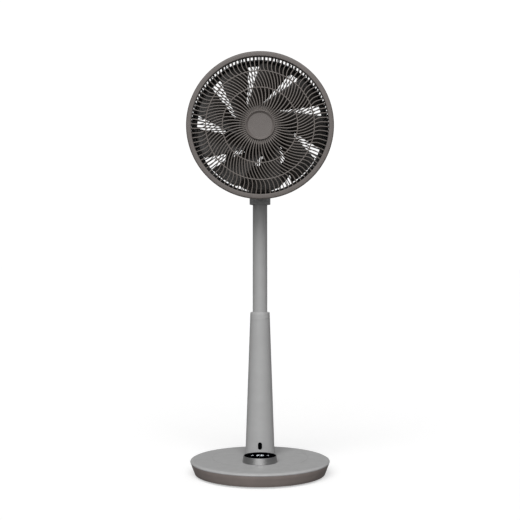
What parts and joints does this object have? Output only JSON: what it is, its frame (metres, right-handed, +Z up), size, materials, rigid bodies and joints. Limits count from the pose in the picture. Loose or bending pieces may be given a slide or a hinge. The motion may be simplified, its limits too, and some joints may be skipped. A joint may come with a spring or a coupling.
{
  "type": "pedestal fan",
  "caption": "Grey pedestal fan: caged axial head in a tilting yoke on a panning neck, telescopic tube, tapered column and weighted round base with a dial.",
  "frame": {"origin": "on the floor under the centre of the round base", "axes": "+Z up, -Y the way the air is blown, +X to the right as seen from the front"},
  "size_m": [0.328, 0.3198, 0.9545],
  "materials": {
    "cover_plastic": "fine satin moulded grey",
    "skirt_plastic": "matt warm grey",
    "column_paint": "satin grey paint",
    "head_plastic": "satin warm grey",
    "grille_plastic": "satin warm grey",
    "rear_grille_plastic": "satin black",
    "blade_plastic": "satin dark brown",
    "black_plastic": "matt black",
    "white_plastic": "natural acetal",
    "dial_metal": "circular brushed",
    "display_glass": "polished black",
    "steel": "zinc plated",
    "iron": "black coated",
    "alloy": "die cast",
    "laminations": "stacked steel laminations",
    "copper_wire": "enamelled copper",
    "ferrite": "sintered ferrite",
    "board": "solder mask",
    "rubber": "matt"
  },
  "bodies": {
    "stand": {"base_top_cover": "cover_plastic", "base_skirt": "skirt_plastic", "base_bottom_plate": "black_plastic", "ballast_plate": "iron", "rubber_feet": "rubber", "base_screws": "steel", "main_board": "board", "power_inlet": "black_plastic", "dial_seat": "black_plastic", "display_tray": "black_plastic", "display_board": "board", "display_glass": "display_glass", "column_flange": "alloy", "flange_screws": "steel", "inner_tube": "steel", "column_shell": "column_paint", "column_cap": "cover_plastic", "guide_bush": "white_plastic", "ir_window": "display_glass"},
    "dial": {"dial_ring": "dial_metal"},
    "mast": {"extension_tube": "column_paint", "tube_slider": "white_plastic", "mast_head": "alloy", "pan_gear": "white_plastic", "pan_retainer": "steel", "thrust_washer": "white_plastic"},
    "neck": {"neck_collar": "column_paint", "neck_shell": "head_plastic", "neck_rear_cover": "head_plastic", "pan_bush": "white_plastic", "pan_motor": "steel", "yoke_frame": "head_plastic", "yoke_rear_cover": "head_plastic", "yoke_screws": "steel", "tilt_bushes": "white_plastic", "tilt_motor": "steel"},
    "pan_drive": {"pan_pinion": "white_plastic"},
    "tilt_drive": {"tilt_pinion": "white_plastic"},
    "head": {"tilt_pins": "steel", "tilt_gear": "white_plastic", "friction_washer": "rubber", "pod_front_shell": "head_plastic", "pod_rear_shell": "head_plastic", "pod_screws": "steel", "motor_bracket": "alloy", "stator_core": "laminations", "stator_coils": "copper_wire", "motor_bearings": "steel", "motor_board": "board", "rear_grille": "rear_grille_plastic", "grille_nut": "black_plastic", "front_grille": "grille_plastic", "hub_cap": "head_plastic", "trim_ring": "head_plastic"},
    "rotor": {"rotor_cup": "steel", "magnet_ring": "ferrite", "motor_shaft": "steel", "impeller": "blade_plastic", "impeller_nut": "black_plastic"}
  },
  "joints": [
    {"name": "dial_turn", "type": "hinge", "parent": "stand", "child": "dial", "pos_m": [0, -0.032, 0.04], "axis": [0, 0, 1], "continuous": true},
    {"name": "height_slide", "type": "slide", "parent": "stand", "child": "mast", "axis": [0, 0, 1], "range_m": [-0.23, 0]},
    {"name": "head_swing", "type": "hinge", "parent": "mast", "child": "neck", "pos_m": [0, 0.042, 0.65], "axis": [0, 0, 1], "range_deg": [-45, 45]},
    {"name": "pan_pinion_spin", "type": "hinge", "parent": "neck", "child": "pan_drive", "pos_m": [0, 0.063, 0.65], "axis": [0, 0, 1], "range_deg": [-113, 113]},
    {"name": "head_tilt", "type": "hinge", "parent": "neck", "child": "head", "pos_m": [0, 0.042, 0.7905], "axis": [-1, 0, 0], "range_deg": [-8, 85]},
    {"name": "tilt_pinion_spin", "type": "hinge", "parent": "neck", "child": "tilt_drive", "pos_m": [0, 0.042, 0.7615], "axis": [-1, 0, 0], "range_deg": [-268, 26]},
    {"name": "fan_spin", "type": "hinge", "parent": "head", "child": "rotor", "pos_m": [0, 0, 0.7905], "axis": [0, -1, 0], "continuous": true}
  ],
  "couplings": [
    {"joint": "pan_pinion_spin", "follows": "head_swing", "ratio": 2.5},
    {"joint": "tilt_pinion_spin", "follows": "head_tilt", "ratio": -3.1429}
  ]
}
